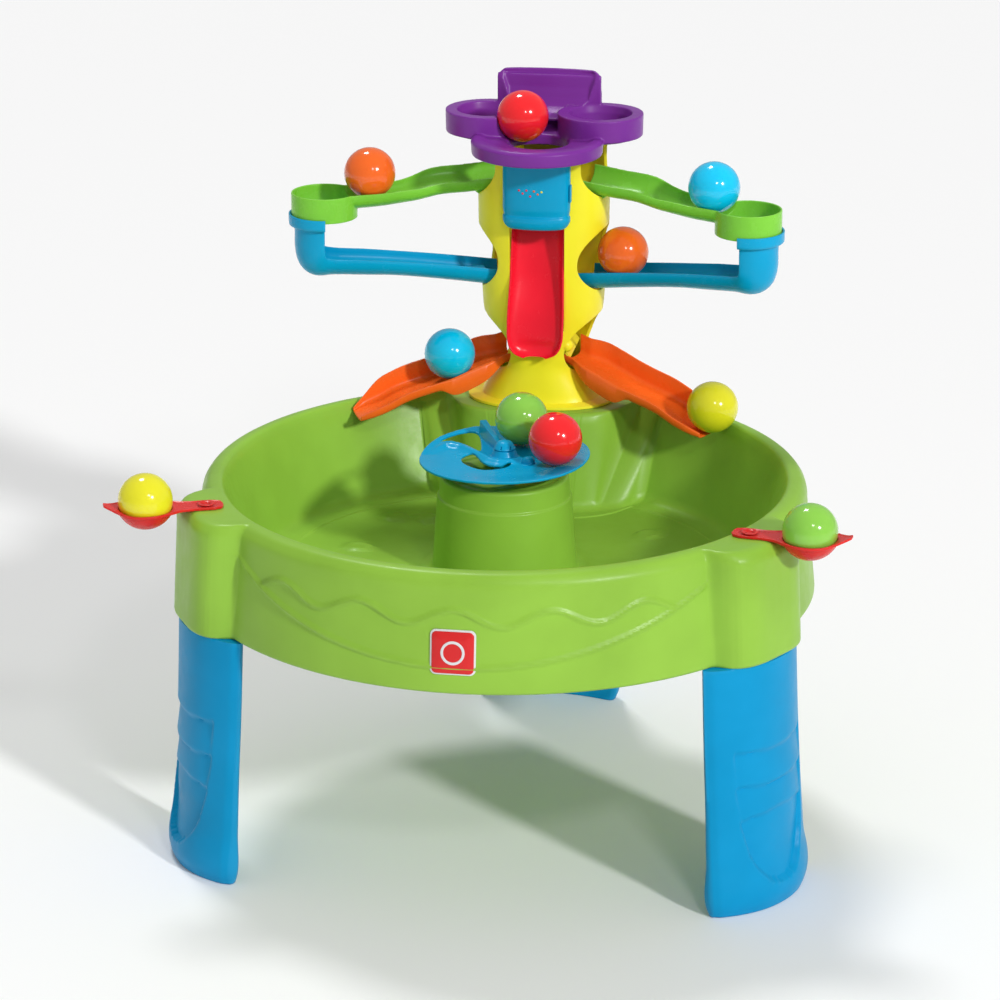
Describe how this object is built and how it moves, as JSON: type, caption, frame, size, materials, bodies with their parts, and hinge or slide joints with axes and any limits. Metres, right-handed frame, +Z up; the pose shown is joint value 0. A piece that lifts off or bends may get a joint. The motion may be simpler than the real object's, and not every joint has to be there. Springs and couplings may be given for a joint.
{
  "type": "ball play table",
  "caption": "Round play table on three legs with a bowl, a ball tower of trays, arms and slides, a spinning disc, two swinging scoops and loose play balls.",
  "frame": {"origin": "on the floor, under the middle of the object's plan bounding box; the tub's own axis is 21.9 mm in front of it and 3.4 mm to its right", "axes": "+Z up; -Y is the front, the side with the badge and the front slide; the scoops stick out along -X and +X"},
  "size_m": [0.8119, 0.7432, 0.797],
  "materials": {
    "lime_tub": "moulded, fine orange peel, soft sheen",
    "blue_legs": "moulded, soft sheen",
    "steel_fixings": "zinc plated",
    "yellow_tower": "moulded, smooth",
    "lime_ramp": "moulded, smooth",
    "sky_blue": "moulded, smooth",
    "green_arms": "moulded, smooth",
    "orange_slides": "moulded, smooth",
    "red_slide": "moulded, smooth",
    "red_badge": "plain label, silver edge",
    "purple_tray": "moulded, soft sheen",
    "red_scoops": "moulded, smooth",
    "ball_red": "blow moulded, glossy",
    "ball_orange": "blow moulded, glossy",
    "ball_blue": "blow moulded, glossy",
    "ball_yellow": "blow moulded, glossy",
    "ball_green": "blow moulded, glossy, slightly clear"
  },
  "bodies": {
    "table": {"tub": "lime_tub", "leg_left": "blue_legs", "leg_right": "blue_legs", "leg_rear": "blue_legs", "tower_front": "yellow_tower", "tower_rear": "yellow_tower", "tower_screw_left": "steel_fixings", "tower_screw_right": "steel_fixings", "upper_ramp": "lime_ramp", "lower_divider": "yellow_tower", "drop_cover": "sky_blue", "front_slide": "red_slide", "top_tray": "purple_tray", "upper_arm_left": "green_arms", "lower_arm_left": "sky_blue", "lower_slide_left": "orange_slides", "scoop_pin_left": "red_scoops", "upper_arm_right": "green_arms", "lower_arm_right": "sky_blue", "lower_slide_right": "orange_slides", "scoop_pin_right": "red_scoops", "spinner_axle": "sky_blue", "axle_push_nut": "steel_fixings", "badge": "red_badge"},
    "spinner": {"spinner": "sky_blue", "spinner_cap": "sky_blue"},
    "scoop_left": {"scoop_left": "red_scoops"},
    "scoop_right": {"scoop_right": "red_scoops"},
    "ball_red_top": {"ball_red_top": "ball_red"},
    "ball_orange_upper": {"ball_orange_upper": "ball_orange"},
    "ball_blue_upper": {"ball_blue_upper": "ball_blue"},
    "ball_orange_lower": {"ball_orange_lower": "ball_orange"},
    "ball_blue_slide": {"ball_blue_slide": "ball_blue"},
    "ball_yellow_slide": {"ball_yellow_slide": "ball_yellow"},
    "ball_yellow_scoop": {"ball_yellow_scoop": "ball_yellow"},
    "ball_green_scoop": {"ball_green_scoop": "ball_green"},
    "ball_green_spinner": {"ball_green_spinner": "ball_green"},
    "ball_red_spinner": {"ball_red_spinner": "ball_red"}
  },
  "joints": [
    {"name": "spinner_spin", "type": "hinge", "parent": "table", "child": "spinner", "pos_m": [0.0034, -0.0219, 0.43], "axis": [0, 0, 1], "continuous": true},
    {"name": "scoop_left_swing", "type": "hinge", "parent": "table", "child": "scoop_left", "pos_m": [-0.2996, -0.191, 0.4135], "axis": [0, 0, 1], "range_deg": [-40, 54]},
    {"name": "scoop_right_swing", "type": "hinge", "parent": "table", "child": "scoop_right", "pos_m": [0.2945, -0.1896, 0.4135], "axis": [0, 0, 1], "range_deg": [-46, 3]},
    {"name": "ball_red_top_lift", "type": "slide", "parent": "table", "child": "ball_red_top", "axis": [0, 0, 1], "range_m": [0, 0.12]},
    {"name": "ball_orange_upper_lift", "type": "slide", "parent": "table", "child": "ball_orange_upper", "axis": [0, 0, 1], "range_m": [0, 0.1]},
    {"name": "ball_blue_upper_lift", "type": "slide", "parent": "table", "child": "ball_blue_upper", "axis": [0, 0, 1], "range_m": [0, 0.1]},
    {"name": "ball_orange_lower_lift", "type": "slide", "parent": "table", "child": "ball_orange_lower", "axis": [0, 0, 1], "range_m": [0, 0.006]},
    {"name": "ball_blue_slide_lift", "type": "slide", "parent": "table", "child": "ball_blue_slide", "axis": [0, 0, 1], "range_m": [0, 0.04]},
    {"name": "ball_yellow_slide_lift", "type": "slide", "parent": "table", "child": "ball_yellow_slide", "axis": [0, 0, 1], "range_m": [0, 0.07]},
    {"name": "ball_yellow_scoop_lift", "type": "slide", "parent": "scoop_left", "child": "ball_yellow_scoop", "axis": [0, 0, 1], "range_m": [0, 0.1]},
    {"name": "ball_green_scoop_lift", "type": "slide", "parent": "scoop_right", "child": "ball_green_scoop", "axis": [0, 0, 1], "range_m": [0, 0.1]},
    {"name": "ball_green_spinner_lift", "type": "slide", "parent": "spinner", "child": "ball_green_spinner", "axis": [0, 0, 1], "range_m": [0, 0.1]},
    {"name": "ball_red_spinner_lift", "type": "slide", "parent": "spinner", "child": "ball_red_spinner", "axis": [0, 0, 1], "range_m": [0, 0.1]}
  ]
}
